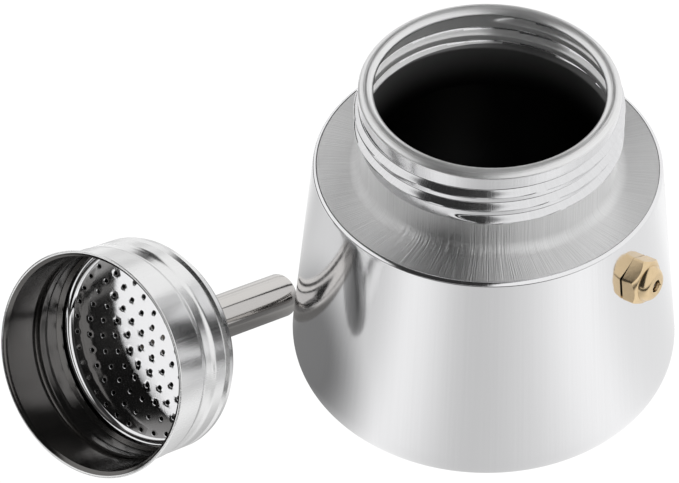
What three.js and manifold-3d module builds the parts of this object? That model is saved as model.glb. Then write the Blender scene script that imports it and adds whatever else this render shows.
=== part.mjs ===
// Lower half of a stainless steel stovetop coffee maker (moka pot), in millimetres, +Z up.
// The boiler stands on the table with its origin at the centre of its base. Its safety valve sits
// in the wall. The funnel filter lies on its side on the table, stem end near the boiler.
import * as THREE from 'three';
import { mergeVertices } from 'three/addons/utils/BufferGeometryUtils.js';
import Module from 'manifold-3d';

// Driving dimensions.
const FIT_GAP = 0.3; // clearance left between pieces that touch on the real object

const BOILER = {
  baseCornerRadius: 10.3,
  shoulderRadius: 44.2, // where the wall cone meets the plane of the shoulder
  shoulderHeight: 66.7,
  wallTilt: THREE.MathUtils.degToRad(5.47), // the wall widens downwards
  wall: 1.0,
  base: 1.4,
  edgeRadius: 1.0, // rounded edge between wall and shoulder
};

const NECK = {
  fillet: 2.9, // between shoulder and neck
  radius: 32.4, // outside of the neck below and between the threads
  threadCrest: 33.9,
  threadPitch: 4.25,
  threadTurns: 2.55,
  threadStartHeight: 77.2, // middle of the lowest crest where the thread begins
  threadStartAngle: THREE.MathUtils.degToRad(-106),
  threadHalfWidth: 1.15,
  threadRunOut: THREE.MathUtils.degToRad(14),
  threadEndHeight: 88.4, // top of the part of the wall that carries the thread
  threadSteps: 14,
  plainFoot: 4.4, // plain wall between the fillet and the thread
  bandRadius: 32.9, // plain band between thread and lip
  bandStep: 0.5,
  lipCorner: 1.4,
  mouthRadius: 29.0,
  topHeight: 92.5,
  wall: 1.0,
};

const VALVE = {
  azimuth: THREE.MathUtils.degToRad(-34.5),
  height: 53.1, // where the valve axis crosses the outside of the wall
  hexAcrossFlats: 11.2,
  hexCorner: 0.2, // the chamfer starts this far inside the middle of each flat
  hexChamfer: 1.7, // length of the chamfer at a radius chamferReach larger
  chamferReach: 2.9,
  hexEnd: 4.3, // distances along the axis, from the outside of the wall outwards
  noseEnd: 6.1,
  noseRootRadius: 4.3,
  noseTipRadius: 2.5,
  shankRadius: 4.0,
  shankEnd: -9.0,
  pinHoleRadius: 1.6,
  chamberRadius: 2.9,
  chamberEnd: 4.0,
  seatRadius: 2.6,
  seatFlangeRadius: 3.6,
  seatTop: -6.6,
  seatFlange: 1.0,
  orificeRadius: 1.0,
  pinRadius: 1.2,
  pinEnd: 5.7,
  headRadius: 2.4,
  headTop: -4.0,
  headThickness: 1.2,
  sealRadius: 2.2,
  sealThickness: 0.8,
  springRadius: 1.95,
  springWire: 0.3,
  springTurns: 6,
  gasketStart: -1.75,
  gasketThickness: 1.0,
  gasketRadius: 6.3,
  nutAcrossFlats: 12.0,
  nutThickness: 3.0,
};

const FUNNEL = {
  flangeRadius: 29.4,
  flangeThickness: 0.9,
  wallRadius: 28.0,
  wall: 0.5,
  // Distances from the rim plane down the axis.
  grooveTop: 10.7,
  grooveBottom: 12.3,
  grooveEnd: 15.4,
  grooveDepth: 0.8,
  lowerWallRadius: 27.8,
  seatGrooveTop: 19.8,
  seatGrooveBottom: 20.9,
  seatGrooveEnd: 21.9,
  beadEnd: 22.7,
  beadStep: 0.6, // from the end of the bead to the start of the bottom's corner
  bottomCorner: 6.2,
  bottom: 27.2,
  stemRadius: 5.77,
  stemWall: 0.5,
  stemStart: 25.9,
  length: 78.3, // from the rim plane to the stem end
  heading: THREE.MathUtils.degToRad(52.07), // of the axis, from rim to stem, on the table
  rim: new THREE.Vector2(-98.36, -43.18), // centre of the rim, seen from above
  tableGap: 0.02,
};

const PLATE = {
  radius: 26.3,
  thickness: 0.5,
  centreDepth: 23.8, // below the rim plane
  dish: 1.9, // rise of the outer hole ring above the centre
  rimWidth: 1.0,
  rimRise: 1.2,
  rimBevel: 0.2,
  ringPitch: 3.97,
  holeRadius: 0.75,
  ringTurns: [0, -13, -16, 0, -7, -1, 2].map(THREE.MathUtils.degToRad),
};

const FULL_TURN = 2 * Math.PI;

// Materials.
const steel = (color, roughness) => new THREE.MeshStandardMaterial({ color, roughness, metalness: 1 });
const MATERIALS = {
  polishedSteel: steel(0xd4d4d6, 0.14),
  satinSteel: steel(0xc4c4c6, 0.34),
  plateSteel: steel(0xdadadc, 0.1),
  brass: steel(0xd0ad6b, 0.24),
  springSteel: steel(0xb4b4b8, 0.3),
  silicone: new THREE.MeshStandardMaterial({ color: 0xb2402e, roughness: 0.7, metalness: 0 }),
};

const wasm = await Module();
wasm.setup();

// Turn a closed geometry into a solid for joining and cutting.
function toSolid(geometry) {
  const bare = geometry.clone();
  bare.deleteAttribute('normal');
  bare.deleteAttribute('uv');
  const merged = mergeVertices(bare, 1e-4);
  const vertProperties = new Float32Array(merged.attributes.position.array);
  const triVerts = new Uint32Array(merged.index.array);
  return new wasm.Manifold(new wasm.Mesh({ numProp: 3, vertProperties, triVerts }));
}

function fromSolid(solid) {
  const mesh = solid.getMesh();
  const geometry = new THREE.BufferGeometry();
  geometry.setAttribute('position', new THREE.BufferAttribute(new Float32Array(mesh.vertProperties), 3));
  geometry.setIndex(new THREE.BufferAttribute(new Uint32Array(mesh.triVerts), 1));
  geometry.computeVertexNormals();
  return geometry;
}

// Points of an arc in an outline, both ends included. Angles are in radians.
function arc(centreR, centreZ, radius, from, to, steps) {
  const points = [];
  for (let i = 0; i <= steps; i += 1) {
    const angle = from + ((to - from) * i) / steps;
    points.push([centreR + radius * Math.cos(angle), centreZ + radius * Math.sin(angle)]);
  }
  return points;
}

// A body of revolution about Z. The outline is a list of [radius, z], going round the section
// anticlockwise (outwards along the bottom, inwards along the top). A ring's outline is closed here.
// swell(r, z, angle) may move a point's radius, which makes a thread.
function revolve(outline, segments, swell = (r) => r) {
  const onAxis = outline[0][0] === 0;
  const section = onAxis ? outline : [...outline, outline[0]];
  const lathe = new THREE.LatheGeometry(
    section.map(([r, z]) => new THREE.Vector2(r, z)),
    segments,
  );
  lathe.rotateX(Math.PI / 2);
  const position = lathe.attributes.position;
  for (let i = 0; i < position.count; i += 1) {
    const r = Math.hypot(position.getX(i), position.getY(i));
    if (r > 1e-6) {
      const angle = Math.atan2(position.getY(i), position.getX(i));
      const moved = swell(r, position.getZ(i), angle) / r;
      position.setX(i, position.getX(i) * moved);
      position.setY(i, position.getY(i) * moved);
    }
  }
  return lathe;
}

// A hexagonal prism between two heights, with two corners on the Y axis.
function hexPrism(acrossFlats, bottom, top) {
  const prism = new THREE.CylinderGeometry(
    acrossFlats / Math.sqrt(3), acrossFlats / Math.sqrt(3), top - bottom, 6,
  );
  prism.rotateX(Math.PI / 2);
  prism.translate(0, 0, (top + bottom) / 2);
  return prism;
}

// Direction out of the wall at the valve, and the point where its axis crosses the wall.
function valvePlace() {
  const radial = new THREE.Vector3(Math.cos(VALVE.azimuth), Math.sin(VALVE.azimuth), 0);
  const wallRadius = BOILER.shoulderRadius
    + (BOILER.shoulderHeight - VALVE.height) * Math.tan(BOILER.wallTilt);
  const point = radial.clone().multiplyScalar(wallRadius).setZ(VALVE.height);
  const out = radial.clone().multiplyScalar(Math.cos(BOILER.wallTilt)).setZ(Math.sin(BOILER.wallTilt));
  return { point, out };
}

// Group whose +Z is the valve's axis out of the wall, and whose +Y points up the wall.
function valveGroup() {
  const { point, out } = valvePlace();
  const side = new THREE.Vector3(0, 0, 1).cross(out).normalize();
  const up = out.clone().cross(side);
  const group = new THREE.Group();
  group.quaternion.setFromRotationMatrix(new THREE.Matrix4().makeBasis(side, up, out));
  group.position.copy(point);
  group.updateMatrixWorld(true);
  return group;
}

// The drawn cup of the boiler: flat base, rounded corner, wall narrowing upwards, rounded top edge.
// A round hole lets the valve through.
function boilerBody(valve) {
  const { baseCornerRadius: corner, shoulderRadius, shoulderHeight, wallTilt, wall, base, edgeRadius } = BOILER;
  const cornerCentre = shoulderRadius
    + (shoulderHeight - corner * (1 + Math.sin(wallTilt))) * Math.tan(wallTilt)
    - corner * Math.cos(wallTilt);
  const edgeCentre = shoulderRadius + edgeRadius * Math.tan(wallTilt) - edgeRadius / Math.cos(wallTilt);
  const outline = [
    [0, 0],
    ...arc(cornerCentre, corner, corner, -Math.PI / 2, wallTilt, 7),
    ...arc(edgeCentre, shoulderHeight - edgeRadius, edgeRadius, wallTilt, Math.PI / 2, 3),
    [edgeCentre, shoulderHeight - wall],
    ...arc(cornerCentre, corner, corner - wall, wallTilt, -Math.PI / 2 + 0.3, 5),
    [cornerCentre, base],
    [0, base],
  ];
  const cup = revolve(outline, 48);
  const hole = new THREE.CylinderGeometry(
    VALVE.shankRadius + FIT_GAP, VALVE.shankRadius + FIT_GAP, 12, 20,
  );
  hole.rotateX(Math.PI / 2);
  hole.applyMatrix4(valve.matrixWorld);
  return fromSolid(toSolid(cup).subtract(toSolid(hole)));
}

// How far a point of the neck stands out on the thread: one right-handed ridge that fades at both ends.
function threadSwell(r, z, angle) {
  const { threadStartAngle, threadStartHeight, threadPitch, threadTurns, threadRunOut } = NECK;
  let height = 0;
  for (let turn = -1; turn <= threadTurns + 1; turn += 1) {
    const along = angle - threadStartAngle + turn * FULL_TURN;
    const ends = Math.min(along, threadTurns * FULL_TURN - along) / threadRunOut;
    const fade = THREE.MathUtils.clamp(ends, 0, 1);
    const offset = (z - threadStartHeight - (threadPitch * along) / FULL_TURN) / NECK.threadHalfWidth;
    if (Math.abs(offset) < 1) {
      height = Math.max(height, fade * (0.5 + 0.5 * Math.cos(Math.PI * offset)));
    }
  }
  return r + height * (NECK.threadCrest - NECK.radius);
}

// Shoulder, threaded neck and turned-in lip, welded to the wall of the cup at the shoulder's edge.
function boilerTop() {
  const { fillet, radius, bandRadius, lipCorner, mouthRadius, topHeight, wall } = NECK;
  const { shoulderHeight } = BOILER;
  const rimRadius = BOILER.shoulderRadius - BOILER.edgeRadius - FIT_GAP;
  const threadBottom = shoulderHeight + fillet + NECK.plainFoot;
  const threadPoints = [];
  for (let i = 0; i <= NECK.threadSteps; i += 1) {
    threadPoints.push([radius, threadBottom + ((NECK.threadEndHeight - threadBottom) * i) / NECK.threadSteps]);
  }
  const outline = [
    [radius - wall, shoulderHeight - wall],
    [rimRadius, shoulderHeight - wall],
    [rimRadius, shoulderHeight],
    ...arc(radius + fillet, shoulderHeight + fillet, fillet, -Math.PI / 2, -Math.PI, 4),
    ...threadPoints,
    [bandRadius, NECK.threadEndHeight + NECK.bandStep],
    ...arc(bandRadius - lipCorner, topHeight - lipCorner, lipCorner, 0, Math.PI / 2, 4),
    ...arc(mouthRadius + wall / 2, topHeight - wall / 2, wall / 2, Math.PI / 2, (3 * Math.PI) / 2, 4),
    [radius - wall, topHeight - wall],
  ];
  const swell = (r, z, angle) => (Math.abs(r - radius) < 1e-4 ? threadSwell(r, z, angle) : r);
  return revolve(outline, 44, swell);
}

// Brass body of the safety valve: chamfered hexagon, domed nose, shank through the wall.
function valveBody() {
  const { hexAcrossFlats, hexEnd, noseEnd, noseRootRadius, noseTipRadius, shankRadius, shankEnd } = VALVE;
  const hex = toSolid(hexPrism(hexAcrossFlats, FIT_GAP, hexEnd));
  const chamferRadius = hexAcrossFlats / 2 - VALVE.hexCorner;
  const reach = chamferRadius + VALVE.chamferReach;
  const chamfer = toSolid(revolve([
    [0, 0],
    [reach, 0],
    [reach, hexEnd - VALVE.hexChamfer],
    [chamferRadius, hexEnd],
    [0, hexEnd],
  ], 24));
  const round = toSolid(revolve([
    [0, shankEnd],
    [shankRadius, shankEnd],
    [shankRadius, FIT_GAP + 0.5],
    [noseRootRadius, FIT_GAP + 0.5],
    [noseRootRadius, hexEnd + 0.4],
    [noseRootRadius - 0.5, hexEnd + 1.0],
    [noseTipRadius + 0.3, noseEnd - 0.2],
    [noseTipRadius, noseEnd],
    [0, noseEnd],
  ], 24));
  const bore = toSolid(revolve([
    [0, shankEnd - 1],
    [VALVE.chamberRadius, shankEnd - 1],
    [VALVE.chamberRadius, VALVE.chamberEnd],
    [VALVE.pinHoleRadius, VALVE.chamberEnd],
    [VALVE.pinHoleRadius, noseEnd + 1],
    [0, noseEnd + 1],
  ], 20));
  return fromSolid(hex.intersect(chamfer).add(round).subtract(bore));
}

// Screwed-in ring at the inner end of the valve, with the orifice that the seal closes.
function valveSeat() {
  const { seatRadius, seatFlangeRadius, seatTop, seatFlange, shankEnd, orificeRadius } = VALVE;
  const flangeTop = shankEnd - FIT_GAP;
  return revolve([
    [orificeRadius, flangeTop - seatFlange],
    [seatFlangeRadius, flangeTop - seatFlange],
    [seatFlangeRadius, flangeTop],
    [seatRadius, flangeTop],
    [seatRadius, seatTop],
    [orificeRadius, seatTop],
  ], 20);
}

// Pin that shows in the nose's hole, with the head that carries the seal.
function valvePiston() {
  const { pinRadius, pinEnd, headRadius, headTop, headThickness } = VALVE;
  return revolve([
    [0, headTop - headThickness],
    [headRadius, headTop - headThickness],
    [headRadius, headTop],
    [pinRadius, headTop],
    [pinRadius, pinEnd - 0.3],
    [pinRadius - 0.4, pinEnd],
    [0, pinEnd],
  ], 18);
}

function valveSeal() {
  const top = VALVE.headTop - VALVE.headThickness - FIT_GAP;
  return revolve([
    [0, top - VALVE.sealThickness],
    [VALVE.sealRadius, top - VALVE.sealThickness],
    [VALVE.sealRadius, top],
    [0, top],
  ], 18);
}

// Path of the spring's wire about the valve's axis.
class SpringPath extends THREE.Curve {
  getPoint(t, target = new THREE.Vector3()) {
    const bottom = VALVE.headTop + FIT_GAP + VALVE.springWire;
    const top = VALVE.chamberEnd - FIT_GAP - VALVE.springWire;
    const angle = t * VALVE.springTurns * FULL_TURN;
    return target.set(
      VALVE.springRadius * Math.cos(angle),
      VALVE.springRadius * Math.sin(angle),
      bottom + (top - bottom) * t,
    );
  }
}

function valveSpring() {
  const wire = new THREE.Shape();
  wire.absarc(0, 0, VALVE.springWire, 0, FULL_TURN);
  return new THREE.ExtrudeGeometry(wire, {
    curveSegments: 3,
    steps: VALVE.springTurns * 12,
    extrudePath: new SpringPath(),
    bevelEnabled: false,
  });
}

function valveGasket() {
  const { gasketStart, gasketThickness, gasketRadius, shankRadius } = VALVE;
  return revolve([
    [shankRadius + FIT_GAP, gasketStart - gasketThickness],
    [gasketRadius, gasketStart - gasketThickness],
    [gasketRadius, gasketStart],
    [shankRadius + FIT_GAP, gasketStart],
  ], 22);
}

function valveLocknut() {
  const top = VALVE.gasketStart - VALVE.gasketThickness - FIT_GAP;
  const nut = toSolid(hexPrism(VALVE.nutAcrossFlats, top - VALVE.nutThickness, top));
  const bore = new THREE.CylinderGeometry(VALVE.shankRadius + FIT_GAP, VALVE.shankRadius + FIT_GAP, 20, 22);
  bore.rotateX(Math.PI / 2);
  return fromSolid(nut.subtract(toSolid(bore)));
}

// Outside of the basket's wall from the flange down to the bead. The funnel's pieces are made with
// the rim plane at z = 0 and the stem pointing down.
function basketWall() {
  const F = FUNNEL;
  return [
    [F.wallRadius, -F.grooveTop],
    [F.wallRadius - F.grooveDepth, -F.grooveBottom],
    [F.lowerWallRadius, -F.grooveEnd],
    [F.lowerWallRadius, -F.seatGrooveTop],
    [F.lowerWallRadius - F.grooveDepth, -F.seatGrooveBottom],
    [F.lowerWallRadius, -F.seatGrooveEnd],
    [F.lowerWallRadius, -F.beadEnd],
  ];
}

// The basket's sheet: the outline goes up its outside and back down its inside.
function funnelBasket() {
  const F = FUNNEL;
  const bevel = FIT_GAP / 2 + F.wall / 4;
  const wall = basketWall();
  const cornerRadius = F.lowerWallRadius - F.bottomCorner;
  const cornerHeight = F.bottomCorner - F.bottom;
  const cornerStart = -Math.asin((F.beadEnd + F.beadStep + cornerHeight) / F.bottomCorner);
  const stemHole = F.stemRadius + FIT_GAP;
  return revolve([
    [stemHole, -F.bottom],
    ...arc(cornerRadius, cornerHeight, F.bottomCorner, -Math.PI / 2, cornerStart, 4),
    ...wall.toReversed(),
    [F.wallRadius, -F.flangeThickness],
    [F.flangeRadius - bevel, -F.flangeThickness],
    [F.flangeRadius, -F.flangeThickness + bevel],
    [F.flangeRadius, -bevel],
    [F.flangeRadius - bevel, 0],
    [F.wallRadius - F.wall, 0],
    ...wall.map(([r, z]) => [r - F.wall, z]),
    ...arc(cornerRadius, cornerHeight, F.bottomCorner - F.wall, cornerStart, -Math.PI / 2, 4),
    [stemHole, -F.bottom + F.wall],
  ], 40);
}

function funnelStem() {
  const F = FUNNEL;
  return revolve([
    [F.stemRadius - F.stemWall, -F.length],
    [F.stemRadius, -F.length],
    [F.stemRadius, -F.stemStart],
    [F.stemRadius - F.stemWall, -F.stemStart],
  ], 24);
}

// Dished disc with an upturned rim, and holes in rings of 6, 12, 18 ... round one in the middle.
function filterPlate() {
  const P = PLATE;
  const holeRing = 6 * P.ringPitch;
  const depthAt = (r) => -P.centreDepth + P.dish * (r / holeRing) ** 2;
  const dishEdge = P.radius - P.rimWidth;
  const radii = [0, 0.45, 0.75, 1].map((share) => share * dishEdge);
  const under = radii.map((r) => [r, depthAt(r) - P.thickness]);
  const over = [...radii].reverse().map((r) => [r, depthAt(r)]);
  const rimTop = depthAt(dishEdge) + P.rimRise;
  const plate = toSolid(revolve([
    ...under,
    [P.radius, rimTop - P.rimBevel],
    [P.radius - P.thickness, rimTop],
    ...over,
  ], 36));
  const drill = new THREE.CylinderGeometry(P.holeRadius, P.holeRadius, 6 * P.thickness, 6);
  drill.rotateX(Math.PI / 2);
  const holes = [];
  P.ringTurns.forEach((turn, ring) => {
    const count = Math.max(1, 6 * ring);
    for (let i = 0; i < count; i += 1) {
      const angle = turn + (i * FULL_TURN) / count;
      const r = ring * P.ringPitch;
      holes.push(toSolid(drill.clone().translate(r * Math.cos(angle), r * Math.sin(angle), depthAt(r))));
    }
  });
  return fromSolid(holes.reduce((cut, hole) => cut.subtract(hole), plate));
}

// The funnel lies on the bead at the foot of the basket's wall and on its stem's end.
function funnelGroup() {
  const F = FUNNEL;
  const leans = basketWall().map(([r, z]) => Math.atan2(r - F.stemRadius, F.length + z));
  const tilt = Math.max(...leans);
  const axis = new THREE.Vector3(
    Math.cos(F.heading) * Math.cos(tilt),
    Math.sin(F.heading) * Math.cos(tilt),
    -Math.sin(tilt),
  );
  const side = new THREE.Vector3(Math.sin(F.heading), -Math.cos(F.heading), 0);
  const up = axis.clone().negate();
  const height = F.stemRadius * Math.cos(tilt) + F.length * Math.sin(tilt) + F.tableGap;
  const group = new THREE.Group();
  group.quaternion.setFromRotationMatrix(new THREE.Matrix4().makeBasis(side, up.clone().cross(side), up));
  group.position.set(F.rim.x, F.rim.y, height);
  return group;
}

function piece(name, geometry, material) {
  const mesh = new THREE.Mesh(geometry, material);
  mesh.name = name;
  return mesh;
}

const pot = new THREE.Group();

const valve = valveGroup();
valve.add(
  piece('valve_body', valveBody(), MATERIALS.brass),
  piece('valve_seat', valveSeat(), MATERIALS.brass),
  piece('valve_piston', valvePiston(), MATERIALS.springSteel),
  piece('valve_seal', valveSeal(), MATERIALS.silicone),
  piece('valve_spring', valveSpring(), MATERIALS.springSteel),
  piece('valve_gasket', valveGasket(), MATERIALS.silicone),
  piece('valve_locknut', valveLocknut(), MATERIALS.brass),
);

const funnel = funnelGroup();
funnel.add(
  piece('funnel_basket', funnelBasket(), MATERIALS.polishedSteel),
  piece('funnel_stem', funnelStem(), MATERIALS.polishedSteel),
  piece('filter_plate', filterPlate(), MATERIALS.plateSteel),
);

pot.add(
  piece('boiler_body', boilerBody(valve), MATERIALS.polishedSteel),
  piece('boiler_top', boilerTop(), MATERIALS.satinSteel),
  valve,
  funnel,
);

export default pot;
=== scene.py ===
import math

import bpy
from mathutils import Matrix, Vector, geometry


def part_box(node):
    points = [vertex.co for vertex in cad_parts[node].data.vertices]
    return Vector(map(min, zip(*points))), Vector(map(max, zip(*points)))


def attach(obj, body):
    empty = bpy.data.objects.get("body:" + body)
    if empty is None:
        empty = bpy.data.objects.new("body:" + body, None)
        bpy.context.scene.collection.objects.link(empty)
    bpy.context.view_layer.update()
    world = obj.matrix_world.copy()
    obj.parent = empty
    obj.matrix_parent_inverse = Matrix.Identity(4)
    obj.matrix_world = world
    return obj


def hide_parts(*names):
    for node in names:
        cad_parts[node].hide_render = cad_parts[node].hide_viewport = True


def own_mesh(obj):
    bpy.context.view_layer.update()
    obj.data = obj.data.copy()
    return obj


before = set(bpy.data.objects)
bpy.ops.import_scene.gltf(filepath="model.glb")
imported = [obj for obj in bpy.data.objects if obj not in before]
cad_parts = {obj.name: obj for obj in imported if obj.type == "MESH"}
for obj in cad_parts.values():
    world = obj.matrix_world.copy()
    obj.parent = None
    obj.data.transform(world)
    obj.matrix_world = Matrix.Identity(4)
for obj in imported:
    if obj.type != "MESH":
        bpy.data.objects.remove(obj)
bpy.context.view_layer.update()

MM = 0.001
QUARTER = math.pi / 2
WHOLE = 2 * math.pi
TOLERANCE = 0.01  # how far off a named radius a point may lie and still count as on it

# Boiler, from the frame where the frame has it.
NECK_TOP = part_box("boiler_top")[1].z / MM
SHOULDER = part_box("boiler_body")[1].z / MM
WALL_TILT = math.radians(5.47)
SHOULDER_RADIUS = 44.2
BASE_CORNER = 10.3
EDGE_RADIUS = 1.0
SHEET = 0.9
FILLET = 2.9
NECK_RADIUS = 32.4
BAND_RADIUS = 32.9
MOUTH_RADIUS = 29.0
LIP_HEIGHT = 1.3
RIM_INSET = 0.04  # how far the shoulder's rim is drawn in beyond the edge's radius
RIM_CHAMFER = 0.06
BAND_STEP = 0.5  # height of the step from the threaded wall to the band
BORE_LIMIT = NECK_RADIUS + 0.3  # inner faces further out than this keep the outer steel
THREAD_CREST = 33.9
THREAD_PITCH = 4.25
THREAD_TURNS = 2.55
THREAD_START_HEIGHT = 77.2
THREAD_START_ANGLE = math.radians(-106)
THREAD_HALF_WIDTH = 1.5
THREAD_RUN_OUT = math.radians(14)
THREAD_TOP = 88.4
POLISHED_FROM = 76.5
MOUTH_FROM = 79.0
# Painted shade inside the boiler: the inner steel's grey falls from a mid grey near the neck to near black
# deep down.
THROAT_SHADE_FADE = (0.066, 0.082, 0.003, 0.20)  # heights in metres, and the greys at them

# Safety valve, along its own axis out of the wall.
VALVE_AZIMUTH = math.radians(-34.5)
VALVE_HEIGHT = 53.1
HEX_FLAT = 5.6
HEX_END = 3.9
HEX_LOOPS = (1.2, 2.4)  # heights of the flats' inner edge loops
HEX_CORNER = 1.14  # the corners are cut at this many times the flats' distance
HEX_FACE_INSET = 0.2  # the end face starts this far inside the flats
HEX_CHAMFER = 0.992  # fall of the chamfer for each millimetre outwards
WALL_GAP = 0.02  # between the wall and the hexagon
NOSE_ROOT = 4.7
NOSE_FROM = 0.08  # angle at which the nose's rounding starts
NOSE_TIP = 2.1
NOSE_END = 6.6
SHANK_RADIUS = 4.0
SHANK_END = -9.0
PIN_HOLE = 1.6
HOLE_CHAMFER = 0.2
VALVE_BORE = 2.9
CHAMBER_END = 4.0
PIN_RADIUS = 1.2
PIN_HEAD_RADIUS = 2.4
PIN_HEAD = (-5.2, -4.0)  # along the valve's axis
PIN_END = 5.6
PIN_ROUND = 0.4
SPRING_RADIUS = 1.95
SPRING_WIRE = 0.3
SPRING_TURNS = 6
SPRING_STEPS = 28  # for each turn
WIRE_SIDES = 12
SPRING_ENDS = (-3.95, 3.95)  # along the valve's axis

# Funnel, with the rim plane at z = 0 and the stem pointing down.
FLANGE = 29.4
FUNNEL_WALL = 28.0
LOWER_WALL = 27.8
FUNNEL_SHEET = 0.5
FUNNEL_BOTTOM = 27.2
FUNNEL_CORNER = 6.2
CORNER_START = 23.3  # depth at which the rounding to the bottom starts
CORNER_INSET = 0.2
STEM_GAP = 0.1  # between the basket's bottom and the stem
STEM_SHEET = 0.5
STEM_RADIUS = 5.77
STEM_START = 25.9
FUNNEL_LENGTH = 78.3
FUNNEL_HEADING = math.radians(52.07)
FUNNEL_RIM = (-98.36, -43.18)
FUNNEL_REST = 0.02  # height of the lying funnel over the table
FLANGE_BEAD = 0.3
FLANGE_EDGE = 0.1  # depth of the flange's bright edge
BEAD_END = 22.7
# Below this depth the basket's underside gets its painted dark reflection.
UNDER_FROM = 23.0  # depth from which the basket counts as its underside

# Filter plate.
PLATE_RADIUS = 26.3
PLATE_DEPTH = 25.0
PLATE_DISH = 1.3
RING_PITCH = 3.98
RING_TURNS = [math.radians(a) for a in (0, -14, -18, -1, -9, -3, 0)]
HOLE_RADIUS = 0.56
HOLE_SIDES = 16
DIMPLE_WIDTH = 0.2
DIMPLE_DEPTH = 0.04
PLATE_FLAT = 25.0  # radius at which the plate's rim starts to rise
PLATE_RISE = 1.3
PLATE_SHEET = 0.4
RIM_LOOPS = (24.9, 25.3, 25.7, 26.0, PLATE_RADIUS)
RIM_SIDES = 180
GRID_STEP = 0.9  # mesh points between the holes
GRID_ROW = 0.87  # distance of two rows, in steps
GRID_REACH = 24.4
GRID_CLEAR = 0.6
IN_HOLE = 0.98  # faces centred within this share of a hole's radius are cut out
MERGE = 1e-5

# Studio. Sines of angles from the middle plane and from the horizon bound the tent's dark gap.
GAP_MIDDLE = -0.22
GAP_TURN = 0.25  # the gap leans to the left in front
GAP_WIDEN = 0.20  # and is wider there
GAP_SIDE = (0.27, 0.37)
GAP_FROM = (0.05, 0.16)
GAP_LEAN = 0.06
ROOM_SIDE = (0.55, 0.70)  # the dark room beyond the table, to the left and low
ROOM_BELOW = (0.04, 0.12)
TABLE_FRONT = (-0.23, -0.18)  # the table's edges, beyond which the room is dark
TABLE_LEFT = (-0.30, -0.27)
TABLE_FAR = (0.14, 0.17)  # how far to the left the table is brighter again, and by how much
FAR_LIGHT = 0.45
SHADE_CENTRE = (-0.064, -0.008, 0)  # dark card on the table between funnel and boiler
SHADE_RADII = (0.014, 0.048)
SHADE_LIGHT = 0.28
BACKDROP = 6000  # radius of the white backdrop behind everything
FLOOR_SIDE, FLOOR_LEVEL, FLOOR_LIGHT = 12, -0.0008, 1.05  # metres
TABLE_SIDE, TABLE_LEVEL = 3, -0.0004
TENT_LIGHT = 0.95
GAP_LIGHT = 0.03
# Brightness of the table from its left (0) to its right (1), going round the boiler's front.
TABLE_LIGHT = [
    (0, 0.72), (0.07, 0.68), (0.2, 0.95), (0.4, 0.66),
    (0.58, 0.66), (0.75, 0.83), (0.9, 1), (1, 0.84),
]

# Camera.
CAMERA_LENS = 5000 / 679 * 36
CAMERA_DISTANCE = 1.3063  # metres, from the middle of the boiler's base
CAMERA_ELEVATION = math.radians(44.26)
CAMERA_YAW = math.radians(-2.29)
CAMERA_PITCH = math.radians(43.0)
CAMERA_REACH = 20


# ---------- mesh helpers ----------

def arc(centre_r, centre_z, radius, start, end, steps):
    """Points of an arc in an outline; angles in radians."""
    turns = [start + (end - start) * i / steps for i in range(steps + 1)]
    return [(centre_r + radius * math.cos(a), centre_z + radius * math.sin(a)) for a in turns]


def fine(outline, step):
    """The same closed outline, with points at most step apart."""
    points = []
    for (r0, z0), (r1, z1) in zip(outline, outline[1:] + outline[:1]):
        count = max(1, math.ceil(math.hypot(r1 - r0, z1 - z0) / step))
        points += [(r0 + (r1 - r0) * i / count, z0 + (z1 - z0) * i / count) for i in range(count)]
    return points


def add_object(name, vertices, faces, smooth_angle=38):
    """A linked mesh object, smooth but for edges sharper than the angle in degrees."""
    mesh = bpy.data.meshes.new(name)
    mesh.from_pydata(vertices, [], faces)
    mesh.validate()
    mesh.update()
    mesh.shade_smooth()
    mesh.set_sharp_from_angle(angle=math.radians(smooth_angle))
    piece = bpy.data.objects.new(name, mesh)
    bpy.context.scene.collection.objects.link(piece)
    return piece


def revolve(name, outline, segments, shape=None):
    """A body of revolution about Z from a closed outline. shape(r, z, angle) may move a point."""
    closed = outline[0][0] > 0 and outline[-1][0] > 0
    vertices, rows = [], []
    for r, z in outline:
        if r < 1e-6:
            rows.append([len(vertices)] * segments)
            vertices.append((0, 0, z * MM))
            continue
        rows.append(list(range(len(vertices), len(vertices) + segments)))
        for i in range(segments):
            angle = WHOLE * i / segments - math.pi
            moved_r, moved_z = shape(r, z, angle) if shape else (r, z)
            vertices.append((moved_r * math.cos(angle) * MM, moved_r * math.sin(angle) * MM, moved_z * MM))
    faces = []
    pairs = list(zip(rows, rows[1:])) + ([(rows[-1], rows[0])] if closed else [])
    for low, high in pairs:
        for i in range(segments):
            j = (i + 1) % segments
            face = [low[i], low[j], high[j], high[i]]
            face = [v for k, v in enumerate(face) if v != face[k - 1]]
            if len(face) > 2:
                faces.append(face)
    return add_object(name, vertices, faces)


def axis_matrix(origin, out):
    """Places a piece so that its +Z is out and its +X is level."""
    side = Vector((0, 0, 1)).cross(out).normalized()
    up = out.cross(side)
    turn = Matrix((side, up, out)).transposed().to_4x4()
    return Matrix.Translation(origin) @ turn


# ---------- node helpers ----------

def nodes_of(material):
    material.use_nodes = True
    return material.node_tree.nodes, material.node_tree.links


def arithmetic(nodes, links, operation, first, second=None):
    """A math node on outputs or plain numbers."""
    step = nodes.new("ShaderNodeMath")
    step.operation = operation
    for socket, value in zip(step.inputs, (first, second)):
        if isinstance(value, (int, float)):
            socket.default_value = value
        elif value is not None:
            links.new(value, socket)
    return step.outputs[0]


def vector_math(nodes, links, operation, first, second=None):
    """The outputs of a vector math node on an output, and on a second output or plain vector."""
    step = nodes.new("ShaderNodeVectorMath")
    step.operation = operation
    links.new(first, step.inputs[0])
    if isinstance(second, tuple):
        step.inputs[1].default_value = second
    elif second is not None:
        links.new(second, step.inputs[1])
    return step.outputs


def axes(nodes, links, vector):
    """The X, Y and Z outputs of a vector."""
    split = nodes.new("ShaderNodeSeparateXYZ")
    links.new(vector, split.inputs[0])
    return split.outputs


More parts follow.
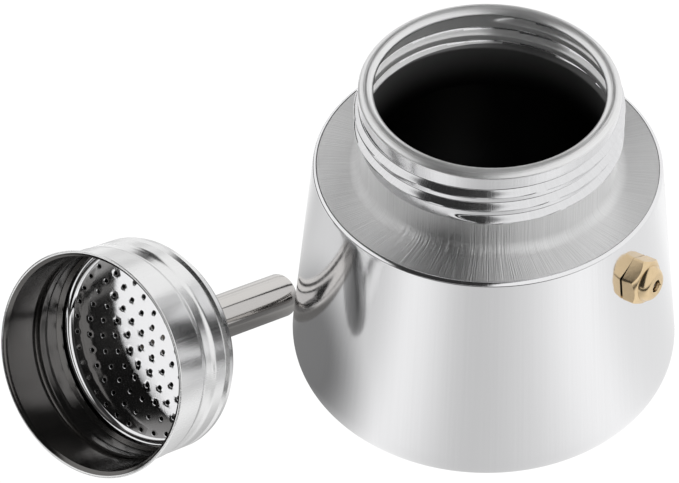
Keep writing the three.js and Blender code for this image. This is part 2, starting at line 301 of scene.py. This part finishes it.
def value_range(nodes, links, value, limits, interpolation="LINEAR"):
    """Maps a value between limits: from low, from high and, unless 0 and 1, to low and to high."""
    step = nodes.new("ShaderNodeMapRange")
    step.interpolation_type = interpolation
    for socket, limit in zip(("From Min", "From Max", "To Min", "To Max"), limits):
        step.inputs[socket].default_value = limit
    links.new(value, step.inputs["Value"])
    return step.outputs["Result"]


def smooth_range(nodes, links, value, low, high):
    return value_range(nodes, links, value, (low, high), "SMOOTHSTEP")


def noise(nodes, links, place, scale, detail):
    texture = nodes.new("ShaderNodeTexNoise")
    texture.inputs["Scale"].default_value = scale
    texture.inputs["Detail"].default_value = detail
    links.new(place, texture.inputs["Vector"])
    return texture.outputs["Fac"]


def shaded(nodes, links, share, color, low, high):
    """The colour times low where the share is 0, and times high where it is 1."""
    shade = nodes.new("ShaderNodeMix")
    shade.data_type = "RGBA"
    shade.inputs["A"].default_value = (*[c * low for c in color], 1)
    shade.inputs["B"].default_value = (*[min(1, c * high) for c in color], 1)
    links.new(share, shade.inputs["Factor"])
    return shade.outputs["Result"]


def relief(nodes, links, height, strength, distance):
    bump = nodes.new("ShaderNodeBump")
    bump.inputs["Strength"].default_value = strength
    bump.inputs["Distance"].default_value = distance
    links.new(height, bump.inputs["Height"])
    return bump.outputs["Normal"]


# ---------- materials ----------

def steel(name, color, roughness, spread, streak=110, along=14, bump=0.02, tint=0.05, brushed=0.0):
    """Stainless steel with a fine grain and soft changes of polish, on a piece turned about its Z.

    The grain changes by streak round the axis and by along down the meridian, so it lies along the
    meridian where streak is the finer one, and round the axis where along is.
    """
    material = bpy.data.materials.new(name)
    nodes, links = nodes_of(material)
    shader = nodes["Principled BSDF"]
    shader.inputs["Metallic"].default_value = 1.0
    if brushed:
        shader.inputs["Anisotropic"].default_value = brushed
        shader.inputs["Anisotropic Rotation"].default_value = 0.25
        tangent = nodes.new("ShaderNodeTangent")
        tangent.direction_type = "RADIAL"
        tangent.axis = "Z"
        links.new(tangent.outputs[0], shader.inputs["Tangent"])
    place = nodes.new("ShaderNodeTexCoord").outputs["Object"]
    flat = vector_math(nodes, links, "MULTIPLY", place, (1, 1, 0))[0]
    unit = vector_math(nodes, links, "NORMALIZE", flat)[0]
    around = vector_math(nodes, links, "MULTIPLY", unit, (streak, streak, streak))[0]
    radius = vector_math(nodes, links, "LENGTH", flat)["Value"]
    meridian = arithmetic(nodes, links, "SUBTRACT", axes(nodes, links, place)["Z"], radius)
    lift = nodes.new("ShaderNodeCombineXYZ")
    links.new(arithmetic(nodes, links, "MULTIPLY", meridian, along), lift.inputs["Z"])
    grain_place = vector_math(nodes, links, "ADD", around, lift.outputs[0])[0]
    grain = noise(nodes, links, grain_place, 1.0, 4)
    cloud = noise(nodes, links, place, 55, 3)
    mixed = arithmetic(nodes, links, "MULTIPLY", grain, cloud)
    polish = (0.12, 0.42, max(0.02, roughness - spread), roughness + spread)
    links.new(value_range(nodes, links, mixed, polish), shader.inputs["Roughness"])
    links.new(shaded(nodes, links, grain, color, 1 - tint, 1 + tint), shader.inputs["Base Color"])
    links.new(relief(nodes, links, grain, bump, 0.0002), shader.inputs["Normal"])
    return material


def plain(name, color, roughness, metallic, scale=900, bump=0.08):
    """Machined metal or rubber: one colour with a fine even grain."""
    material = bpy.data.materials.new(name)
    nodes, links = nodes_of(material)
    shader = nodes["Principled BSDF"]
    shader.inputs["Metallic"].default_value = metallic
    place = nodes.new("ShaderNodeTexCoord").outputs["Object"]
    grain = noise(nodes, links, place, scale, 3)
    polish = (0, 1, roughness * 0.75, roughness * 1.25)
    links.new(value_range(nodes, links, grain, polish), shader.inputs["Roughness"])
    links.new(shaded(nodes, links, grain, color, 0.9, 1.08), shader.inputs["Base Color"])
    links.new(relief(nodes, links, grain, bump, 0.0001), shader.inputs["Normal"])
    return material


def throat(name):
    """Dull inner steel, with painted shade that darkens it with depth below the mouth."""
    material = bpy.data.materials.new(name)
    nodes, links = nodes_of(material)
    shader = nodes["Principled BSDF"]
    shader.inputs["Metallic"].default_value = 0.5
    shader.inputs["Roughness"].default_value = 0.45
    place = nodes.new("ShaderNodeTexCoord").outputs["Object"]
    depth = value_range(nodes, links, axes(nodes, links, place)["Z"], THROAT_SHADE_FADE, "SMOOTHSTEP")
    links.new(depth, shader.inputs["Base Color"])
    return material


POLISHED = steel("polished_steel", (0.86, 0.86, 0.87), 0.10, 0.04, bump=0.02, tint=0.03)
SATIN = steel("satin_steel", (0.90, 0.90, 0.90), 0.42, 0.08, streak=130, along=40, bump=0.5, tint=0.2,
              brushed=1.0)
NECK_STEEL = steel("neck_steel", (0.78, 0.78, 0.79), 0.17, 0.05, bump=0.03, tint=0.08)
LIP_STEEL = steel("lip_steel", (0.84, 0.84, 0.84), 0.36, 0.06, streak=2, along=3000, bump=0.3, tint=0.12)
# Painted shade: the stem is given a darker, warmer grey than the basket's steel, for the dim table it
# reflects.
STEM_SHADED_STEEL = steel("stem_steel_painted_shade", (0.66, 0.64, 0.62), 0.12, 0.03, bump=0.02, tint=0.05)
BASKET = steel("basket_steel", (0.86, 0.86, 0.86), 0.24, 0.06, bump=0.03, tint=0.05)
# Painted shade: the basket's inside is the same steel, given a dark grey for the shade within it.
BASKET_INSIDE_SHADE = steel("basket_inner_painted_shade", (0.15, 0.145, 0.14), 0.2, 0.06, bump=0.08, tint=0.08)
PLATE = steel("plate_steel", (0.86, 0.86, 0.87), 0.06, 0.02, bump=0.01, tint=0.03)
BRASS = plain("brass", (0.78, 0.60, 0.37), 0.2, 1.0)
# Painted reflection: the basket's underside is the same steel, given a dark grey for the shaded table and
# boiler it faces.
BASKET_UNDER_SHADE = steel("basket_under_painted_shade", (0.34, 0.34, 0.34), 0.2, 0.06, bump=0.05, tint=0.08)
MOUTH_STEEL = plain("mouth_steel", (0.90, 0.90, 0.90), 0.2, 0.45, scale=400)
# The throat's grey is painted shade, deeper further down the boiler.
THROAT_PAINTED_SHADE = throat("throat_steel_painted_shade")
SPRING = plain("spring_steel", (0.62, 0.62, 0.64), 0.3, 1.0)
SILICONE = plain("silicone", (0.55, 0.12, 0.07), 0.6, 0.0)


def finish_piece(piece, body, slot, node, *materials):
    """Gives a piece its materials, the body it rides on and the node it stands for."""
    for material in materials:
        piece.data.materials.append(material)
    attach(piece, body)
    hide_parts(node)
    return piece


def paint_inside(piece, is_inside):
    """Gives the faces for which is_inside(centre in mm, normal) holds the piece's second material."""
    for polygon in piece.data.polygons:
        if is_inside(polygon.center / MM, polygon.normal):
            polygon.material_index = 1


# ---------- boiler ----------

def boiler_cup():
    centre = SHOULDER_RADIUS + (SHOULDER - BASE_CORNER * (1 + math.sin(WALL_TILT))) * math.tan(WALL_TILT)
    centre -= BASE_CORNER * math.cos(WALL_TILT)
    edge = SHOULDER_RADIUS + EDGE_RADIUS * math.tan(WALL_TILT) - EDGE_RADIUS / math.cos(WALL_TILT)
    outline = [(0, 0)]
    outline += arc(centre, BASE_CORNER, BASE_CORNER, -QUARTER, WALL_TILT, 24)
    outline += arc(edge, SHOULDER - EDGE_RADIUS, EDGE_RADIUS, WALL_TILT, QUARTER, 10)
    outline += [(edge, SHOULDER - SHEET)]
    outline += arc(centre, BASE_CORNER, BASE_CORNER - SHEET, WALL_TILT, -QUARTER, 24)
    outline += [(0, SHEET)]
    piece = revolve("boiler_cup", fine(outline, step=1.5)[:-1], segments=256)
    finish_piece(piece, "boiler", "polished_steel", "boiler_body", POLISHED, THROAT_PAINTED_SHADE)
    # The cup's inner faces take the throat's painted shade.
    paint_inside(piece, lambda c, n: c.z > SHEET / 2 and c.xy.dot(n.xy) < 0 and c.z < SHOULDER - SHEET)


def thread_height(z, angle):
    """How far the sheet stands out at a place on the thread, from 0 to 1."""
    height = 0.0
    for turn in range(-1, math.ceil(THREAD_TURNS) + 2):
        along = angle - THREAD_START_ANGLE + turn * WHOLE
        fade = max(0.0, min(1.0, min(along, THREAD_TURNS * WHOLE - along) / THREAD_RUN_OUT))
        offset = (z - THREAD_START_HEIGHT - THREAD_PITCH * along / WHOLE) / THREAD_HALF_WIDTH
        if abs(offset) < 1:
            height = max(height, fade * (0.5 + 0.5 * math.cos(math.pi * offset)))
    return height


def neck_shape(r, z, angle):
    """Pushes both sides of the neck's sheet out along the thread."""
    if z < SHOULDER + FILLET or z > THREAD_TOP or r < NECK_RADIUS - SHEET - TOLERANCE:
        return r, z
    return r + thread_height(z, angle) * (THREAD_CREST - NECK_RADIUS), z


def boiler_shoulder():
    rim = SHOULDER_RADIUS - EDGE_RADIUS - RIM_INSET
    inner = NECK_RADIUS - SHEET
    lip = SHEET / 2
    outline = [(inner, SHOULDER - SHEET), (rim, SHOULDER - SHEET)]
    outline += [(rim, SHOULDER - RIM_CHAMFER), (rim - RIM_CHAMFER, SHOULDER)]
    outline += arc(NECK_RADIUS + FILLET, SHOULDER + FILLET, FILLET, -QUARTER, -math.pi, 12)
    outline += [(NECK_RADIUS, THREAD_TOP), (BAND_RADIUS, THREAD_TOP + BAND_STEP)]
    middle = (BAND_RADIUS + MOUTH_RADIUS) / 2
    width = (BAND_RADIUS - MOUTH_RADIUS) / 2
    for r, z in arc(0, 0, 1, 0, math.pi, 24):
        outline.append((middle + width * r, NECK_TOP + LIP_HEIGHT * (z - 1)))
    outline += [(MOUTH_RADIUS + lip, NECK_TOP - LIP_HEIGHT - lip), (inner, NECK_TOP - LIP_HEIGHT - SHEET)]
    outline += [(inner, THREAD_TOP)]
    piece = revolve("boiler_shoulder_and_neck", fine(outline, step=0.3), segments=288, shape=neck_shape)
    looks = [SATIN, THROAT_PAINTED_SHADE, NECK_STEEL, LIP_STEEL, MOUTH_STEEL]
    finish_piece(piece, "boiler", "satin_steel", "boiler_top", *looks)
    for polygon in piece.data.polygons:
        centre = polygon.center / MM
        faces_in = centre.xy.dot(polygon.normal.xy) < 0
        if centre.z > NECK_TOP - LIP_HEIGHT:
            polygon.material_index = looks.index(LIP_STEEL)
        # Inner faces of the neck take the mouth's steel near the top, and the throat's painted shade below
        # it.
        elif faces_in and centre.xy.length < BORE_LIMIT:
            polygon.material_index = looks.index(MOUTH_STEEL if centre.z > MOUTH_FROM else THROAT_PAINTED_SHADE)
        elif centre.z > POLISHED_FROM:
            polygon.material_index = looks.index(NECK_STEEL)


# ---------- safety valve ----------

def valve_matrix():
    radial = Vector((math.cos(VALVE_AZIMUTH), math.sin(VALVE_AZIMUTH), 0))
    wall = SHOULDER_RADIUS + (SHOULDER - VALVE_HEIGHT) * math.tan(WALL_TILT)
    origin = (radial * wall + Vector((0, 0, VALVE_HEIGHT))) * MM
    out = radial * math.cos(WALL_TILT) + Vector((0, 0, math.sin(WALL_TILT)))
    return axis_matrix(origin, out)


def hex_shape(r, z, angle):
    """Turns a round section into a chamfered hexagon with corners on the Y axis."""
    if r < HEX_FLAT - TOLERANCE:
        return r, z
    sixth = math.pi / 3
    turn = (angle + sixth / 2) % sixth - sixth / 2
    corner = min(HEX_FLAT / math.cos(turn), HEX_FLAT * HEX_CORNER)
    beyond = corner - (HEX_FLAT - HEX_FACE_INSET)
    return corner, min(z, HEX_END - beyond * HEX_CHAMFER)


def valve_spring(place):
    """The coil round the pin, as a fixed mesh on the boiler, though the real one shortens towards the nose
    as the pin comes out.
    """
    steps = SPRING_TURNS * SPRING_STEPS
    low, high = SPRING_ENDS[0] + SPRING_WIRE, SPRING_ENDS[1] - SPRING_WIRE
    vertices, faces = [], []
    for i in range(steps + 1):
        turn = WHOLE * SPRING_TURNS * i / steps
        for j in range(WIRE_SIDES):
            side = WHOLE * j / WIRE_SIDES
            r = SPRING_RADIUS + SPRING_WIRE * math.cos(side)
            z = low + (high - low) * i / steps + SPRING_WIRE * math.sin(side)
            vertices.append((r * math.cos(turn) * MM, r * math.sin(turn) * MM, z * MM))
    for i in range(steps):
        for j in range(WIRE_SIDES):
            a, b = i * WIRE_SIDES + j, i * WIRE_SIDES + (j + 1) % WIRE_SIDES
            faces.append((a, a + WIRE_SIDES, b + WIRE_SIDES, b))
    last = range((steps + 1) * WIRE_SIDES - 1, steps * WIRE_SIDES - 1, -1)
    faces += [tuple(range(WIRE_SIDES)), tuple(last)]
    coil = add_object("valve_spring_coil", vertices, faces)
    coil.matrix_world = place
    finish_piece(coil, "boiler", "spring_steel", "valve_spring", SPRING)
    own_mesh(coil)


def valve_pieces():
    place = valve_matrix()
    outline = [(VALVE_BORE, SHANK_END), (SHANK_RADIUS, SHANK_END), (SHANK_RADIUS, WALL_GAP)]
    outline += [(HEX_FLAT, z) for z in (WALL_GAP, *HEX_LOOPS, HEX_END)]
    outline += [(HEX_FLAT - HEX_FACE_INSET, HEX_END)]
    outline += [(NOSE_TIP + (NOSE_ROOT - NOSE_TIP) * r, HEX_END + (NOSE_END - HEX_END) * z)
                for r, z in arc(0, 0, 1, NOSE_FROM, QUARTER, 14)]
    outline += [(PIN_HOLE + HOLE_CHAMFER, NOSE_END), (PIN_HOLE, NOSE_END - HOLE_CHAMFER)]
    outline += [(PIN_HOLE, CHAMBER_END), (VALVE_BORE, CHAMBER_END)]
    body = revolve("valve_hexagon_and_nose", outline, segments=144, shape=hex_shape)
    body.matrix_world = place
    finish_piece(body, "boiler", "brass", "valve_body", BRASS)
    back, front = PIN_HEAD
    pin = [(0, back), (PIN_HEAD_RADIUS, back), (PIN_HEAD_RADIUS, front), (PIN_RADIUS, front)]
    pin += [(PIN_RADIUS, PIN_END - PIN_ROUND)]
    pin += arc(PIN_RADIUS - PIN_ROUND, PIN_END - PIN_ROUND, PIN_ROUND, 0, QUARTER, 6) + [(0, PIN_END)]
    piston = revolve("valve_pin", pin, segments=64)
    piston.matrix_world = place
    finish_piece(piston, "valve_pin", "spring_steel", "valve_piston", SPRING)
    valve_spring(place)


# ---------- funnel ----------

def funnel_matrix():
    tilt = math.atan2(LOWER_WALL - STEM_RADIUS, FUNNEL_LENGTH - BEAD_END)
    level = Vector((math.cos(FUNNEL_HEADING), math.sin(FUNNEL_HEADING), 0))
    axis = level * math.cos(tilt) - Vector((0, 0, math.sin(tilt)))
    height = STEM_RADIUS * math.cos(tilt) + FUNNEL_LENGTH * math.sin(tilt) + FUNNEL_REST
    origin = Vector((*FUNNEL_RIM, height)) * MM
    side = Vector((level.y, -level.x, 0))
    up = -axis
    turn = Matrix((side, up.cross(side), up)).transposed().to_4x4()
    return Matrix.Translation(origin) @ turn


def basket_outline():
    """The basket's outside from the flange down, as (radius, depth)."""
    return [
        (FUNNEL_WALL, 1.2), (FUNNEL_WALL, 10.7), (FUNNEL_WALL - 0.55, 11.6), (FUNNEL_WALL - 0.8, 12.3),
        (LOWER_WALL - 0.3, 15.0), (LOWER_WALL, 15.8), (LOWER_WALL, 19.6), (LOWER_WALL - 0.8, 20.4),
        (LOWER_WALL - 0.8, 20.9), (LOWER_WALL, 21.5), (LOWER_WALL, BEAD_END), (LOWER_WALL - 0.6, 22.9),
    ]


def funnel_pieces():
    """Basket and stem; gives back their place, which the filter plate shares."""
    place = funnel_matrix()
    wall = basket_outline()
    centre = LOWER_WALL - CORNER_INSET - FUNNEL_CORNER
    depth = FUNNEL_BOTTOM - FUNNEL_CORNER
    start = -math.asin((CORNER_START - depth) / FUNNEL_CORNER)
    bead = FLANGE_BEAD
    outline = [(STEM_RADIUS + STEM_GAP, -FUNNEL_BOTTOM)]
    outline += arc(centre, -depth, FUNNEL_CORNER, -QUARTER, start, 14)
    outline += [(r, -d) for r, d in reversed(wall)]
    outline += arc(FLANGE - bead, -bead, bead, -QUARTER, QUARTER, 10)
    outline += [(FLANGE - 0.65, -0.12), (FLANGE - 0.95, -0.5), (FUNNEL_WALL - 0.15, -0.95)]
    outline += [(r - FUNNEL_SHEET, -d) for r, d in wall[1:]]
    outline += arc(centre, -depth, FUNNEL_CORNER - FUNNEL_SHEET, start, -QUARTER, 14)
    outline += [(STEM_RADIUS + STEM_GAP, -FUNNEL_BOTTOM + FUNNEL_SHEET)]
    basket = revolve("funnel_basket_shell", fine(outline, step=0.6), segments=240)
    basket.matrix_world = place
    looks = [BASKET, BASKET_INSIDE_SHADE, BASKET_UNDER_SHADE]
    finish_piece(basket, "funnel", "polished_steel", "funnel_basket", *looks)
    # The basket's inner faces take its painted shade.
    paint_inside(basket, lambda c, n: (c.xy.dot(n.xy) < 0 and c.z < -FLANGE_EDGE
                                       and c.xy.length < FLANGE - FUNNEL_SHEET))
    # Outer faces below UNDER_FROM get the underside's painted dark reflection.
    for polygon in basket.data.polygons:
        if polygon.center.z / MM < -UNDER_FROM and polygon.material_index == looks.index(BASKET):
            polygon.material_index = looks.index(BASKET_UNDER_SHADE)
    end = STEM_SHEET / 2
    tube = [(STEM_RADIUS - STEM_SHEET, -FUNNEL_LENGTH + end)]
    tube += arc(STEM_RADIUS - end, -FUNNEL_LENGTH + end, end, math.pi, WHOLE, 8)
    tube += [(STEM_RADIUS, -STEM_START), (STEM_RADIUS - STEM_SHEET, -STEM_START)]
    stem = revolve("funnel_stem_tube", fine(tube, step=2.0), segments=96)
    stem.matrix_world = place
    finish_piece(stem, "funnel", "polished_steel", "funnel_stem", STEM_SHADED_STEEL)
    return place


def circle(x, y, radius, sides):
    """Points round a circle in the plate's plane."""
    turns = [WHOLE * i / sides for i in range(sides)]
    return [Vector((x + radius * math.cos(a), y + radius * math.sin(a))) for a in turns]


def hole_centres():
    centres = [(0.0, 0.0)]
    for ring in range(1, len(RING_TURNS)):
        for i in range(6 * ring):
            angle = RING_TURNS[ring] + WHOLE * i / (6 * ring)
            centres.append((ring * RING_PITCH * math.cos(angle), ring * RING_PITCH * math.sin(angle)))
    return centres


def plate_height(x, y, centres):
    """Height in mm of the dished plate, with its raised rim and a shallow dimple round each hole."""
    r = math.hypot(x, y)
    nearest = min(math.hypot(x - cx, y - cy) for cx, cy in centres)
    dimple = max(0.0, 1 - (nearest - HOLE_RADIUS) / DIMPLE_WIDTH)
    rim = max(0.0, (r - PLATE_FLAT) / (PLATE_RADIUS - PLATE_FLAT))
    outer_ring = (len(RING_TURNS) - 1) * RING_PITCH
    dish = PLATE_DISH * (r / outer_ring) ** 2
    return -PLATE_DEPTH + dish - DIMPLE_DEPTH * dimple ** 2 + PLATE_RISE * rim ** 2


def filter_plate(place):
    centres = hole_centres()
    points, edges = [], []

    def add_loop(x, y, radius, sides):
        first = len(points)
        points.extend(circle(x, y, radius, sides))
        edges.extend((first + i, first + (i + 1) % sides) for i in range(sides))

    def off_centres(spot):
        return min((spot - Vector(c)).length for c in centres)

    for cx, cy in centres:
        for share in (0, 0.5, 1):
            add_loop(cx, cy, HOLE_RADIUS + DIMPLE_WIDTH * share, HOLE_SIDES)
    reach = math.ceil(PLATE_FLAT / GRID_STEP)
    for row in range(-reach, reach + 1):
        for column in range(-reach, reach + 1):
            spot = Vector(((column + row % 2 / 2) * GRID_STEP, row * GRID_STEP * GRID_ROW))
            if spot.length < GRID_REACH and off_centres(spot) > HOLE_RADIUS + GRID_CLEAR:
                points.append(spot)
    for radius in RIM_LOOPS:
        add_loop(0, 0, radius, RIM_SIDES)
    flat, _, faces, *_ = geometry.delaunay_2d_cdt(points, edges, [], 0, MERGE)
    kept = []
    for face in faces:
        middle = sum((flat[v] for v in face), Vector((0, 0))) / len(face)
        if off_centres(middle) > HOLE_RADIUS * IN_HOLE:
            kept.append(face)
    vertices = [(p.x * MM, p.y * MM, plate_height(p.x, p.y, centres) * MM) for p in flat]
    piece = add_object("filter_plate_sheet", vertices, kept, smooth_angle=50)
    piece.matrix_world = place
    thick = piece.modifiers.new("sheet", "SOLIDIFY")
    thick.thickness = PLATE_SHEET * MM
    thick.offset = -1
    finish_piece(piece, "funnel", "plate_steel", "filter_plate", PLATE)


# ---------- small pieces kept from the frame ----------

def dress_frame_nodes():
    looks = {
        "valve_seat": BRASS, "valve_locknut": BRASS,
        "valve_seal": SILICONE, "valve_gasket": SILICONE,
    }
    for name, material in looks.items():
        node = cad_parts[name]
        node.data.materials.clear()
        node.data.materials.append(material)


# ---------- studio ----------

def emission(name, strength):
    material = bpy.data.materials.new(name)
    nodes, links = nodes_of(material)
    nodes.clear()
    light = nodes.new("ShaderNodeEmission")
    light.inputs["Color"].default_value = (1, 1, 1, 1)
    light.inputs["Strength"].default_value = strength
    output = nodes.new("ShaderNodeOutputMaterial")
    links.new(light.outputs[0], output.inputs["Surface"])
    return material


def card(name, level, side, strength, camera=False):
    """A level square stage panel of light that casts no shadow."""
    half = side / 2
    panel = add_object(name, [(-half, -half, 0), (half, -half, 0), (half, half, 0), (-half, half, 0)],
                       [(0, 1, 2, 3)])
    panel.data.materials.append(emission(name + "_light", strength))
    panel.location = (0, 0, level)
    panel.visible_camera = camera
    panel.visible_shadow = False
    return panel


def ramp_node(nodes, stops):
    """A grey ramp from (place, brightness) pairs."""
    ramp = nodes.new("ShaderNodeValToRGB")
    ramp.color_ramp.interpolation = "CARDINAL"
    while len(ramp.color_ramp.elements) < len(stops):
        ramp.color_ramp.elements.new(0.5)
    for element, (place, grey) in zip(ramp.color_ramp.elements, stops):
        element.position = place
        element.color = (grey, grey, grey, 1)
    return ramp


def tent():
    """The surroundings: a white tent with a dark gap overhead, and a dark room low on the left."""
    world = bpy.data.worlds.new("tent")
    bpy.context.scene.world = world
    nodes, links = nodes_of(world)
    toward = axes(nodes, links, nodes.new("ShaderNodeTexCoord").outputs["Generated"])
    turn = arithmetic(nodes, links, "MULTIPLY", toward["Y"], GAP_TURN)
    middle = arithmetic(nodes, links, "ADD", turn, GAP_MIDDLE)
    offset = arithmetic(nodes, links, "SUBTRACT", toward["X"], middle)
    narrowing = arithmetic(nodes, links, "MULTIPLY", toward["Y"], GAP_WIDEN)
    sideways = arithmetic(nodes, links, "ADD", arithmetic(nodes, links, "ABSOLUTE", offset), narrowing)
    inside = arithmetic(nodes, links, "SUBTRACT", 1, smooth_range(nodes, links, sideways, *GAP_SIDE))
    lean = arithmetic(nodes, links, "MULTIPLY", toward["Y"], GAP_LEAN)
    raised = arithmetic(nodes, links, "SUBTRACT", toward["Z"], lean)
    gap = arithmetic(nodes, links, "MULTIPLY", inside, smooth_range(nodes, links, raised, *GAP_FROM))
    leftward = arithmetic(nodes, links, "MULTIPLY", toward["X"], -1)
    left = smooth_range(nodes, links, leftward, *ROOM_SIDE)
    low = arithmetic(nodes, links, "SUBTRACT", 1, smooth_range(nodes, links, toward["Z"], *ROOM_BELOW))
    room = arithmetic(nodes, links, "MULTIPLY", left, low)
    dark = arithmetic(nodes, links, "MAXIMUM", gap, room)
    shade = shaded(nodes, links, dark, (1, 1, 1), TENT_LIGHT, GAP_LIGHT)
    links.new(shade, nodes["Background"].inputs["Color"])


def bounce_floor():
    """What the pieces see of the table: its light, a shaded spot, and dark past its edges."""
    panel = card("table_bounce", TABLE_LEVEL, TABLE_SIDE, 1.0)
    nodes, links = nodes_of(panel.data.materials[0])
    light = nodes["Emission"]
    place = nodes.new("ShaderNodeTexCoord").outputs["Object"]
    unit = vector_math(nodes, links, "NORMALIZE", place)[0]
    share = value_range(nodes, links, axes(nodes, links, unit)["X"], (-1, 1))
    ramp = ramp_node(nodes, TABLE_LIGHT)
    links.new(share, ramp.inputs["Fac"])
    links.new(ramp.outputs["Color"], light.inputs["Color"])
    at = axes(nodes, links, place)
    in_front = smooth_range(nodes, links, at["Y"], *TABLE_FRONT)
    beside = smooth_range(nodes, links, at["X"], *TABLE_LEFT)
    on_table = arithmetic(nodes, links, "MULTIPLY", in_front, beside)
    away = vector_math(nodes, links, "DISTANCE", place, SHADE_CENTRE)["Value"]
    clear = smooth_range(nodes, links, away, *SHADE_RADII)
    part = arithmetic(nodes, links, "MULTIPLY", clear, 1 - SHADE_LIGHT)
    lit = arithmetic(nodes, links, "ADD", part, SHADE_LIGHT)
    leftward = arithmetic(nodes, links, "MULTIPLY", at["X"], -1)
    far = arithmetic(nodes, links, "MULTIPLY", smooth_range(nodes, links, leftward, *TABLE_FAR), FAR_LIGHT)
    lit = arithmetic(nodes, links, "MULTIPLY", lit, arithmetic(nodes, links, "ADD", far, 1))
    both = arithmetic(nodes, links, "MULTIPLY", lit, on_table)
    links.new(both, light.inputs["Strength"])


def studio():
    tent()
    bounce_floor()
    floor = card("floor", FLOOR_LEVEL, FLOOR_SIDE, FLOOR_LIGHT, camera=True)
    backdrop = revolve("backdrop", arc(0, 0, BACKDROP, -QUARTER, QUARTER, 24), segments=48)
    backdrop.data.materials.append(floor.data.materials[0])
    backdrop.visible_shadow = False
    for panel in (floor, backdrop):
        panel.visible_glossy = False
        panel.visible_diffuse = False
        panel.visible_transmission = False


def camera():
    data = bpy.data.cameras.new("camera")
    data.lens = CAMERA_LENS
    data.clip_end = CAMERA_REACH
    eye = bpy.data.objects.new("camera", data)
    bpy.context.scene.collection.objects.link(eye)
    level, height = math.cos(CAMERA_ELEVATION), math.sin(CAMERA_ELEVATION)
    eye.location = (0, -CAMERA_DISTANCE * level, CAMERA_DISTANCE * height)
    ahead = math.cos(CAMERA_PITCH)
    look = Vector((math.sin(CAMERA_YAW) * ahead, math.cos(CAMERA_YAW) * ahead, -math.sin(CAMERA_PITCH)))
    eye.rotation_mode = "QUATERNION"
    eye.rotation_quaternion = look.to_track_quat("-Z", "Y")
    bpy.context.scene.camera = eye


camera()
boiler_cup()
boiler_shoulder()
valve_pieces()
filter_plate(funnel_pieces())
dress_frame_nodes()
studio()
bpy.context.scene.view_settings.view_transform = "Standard"
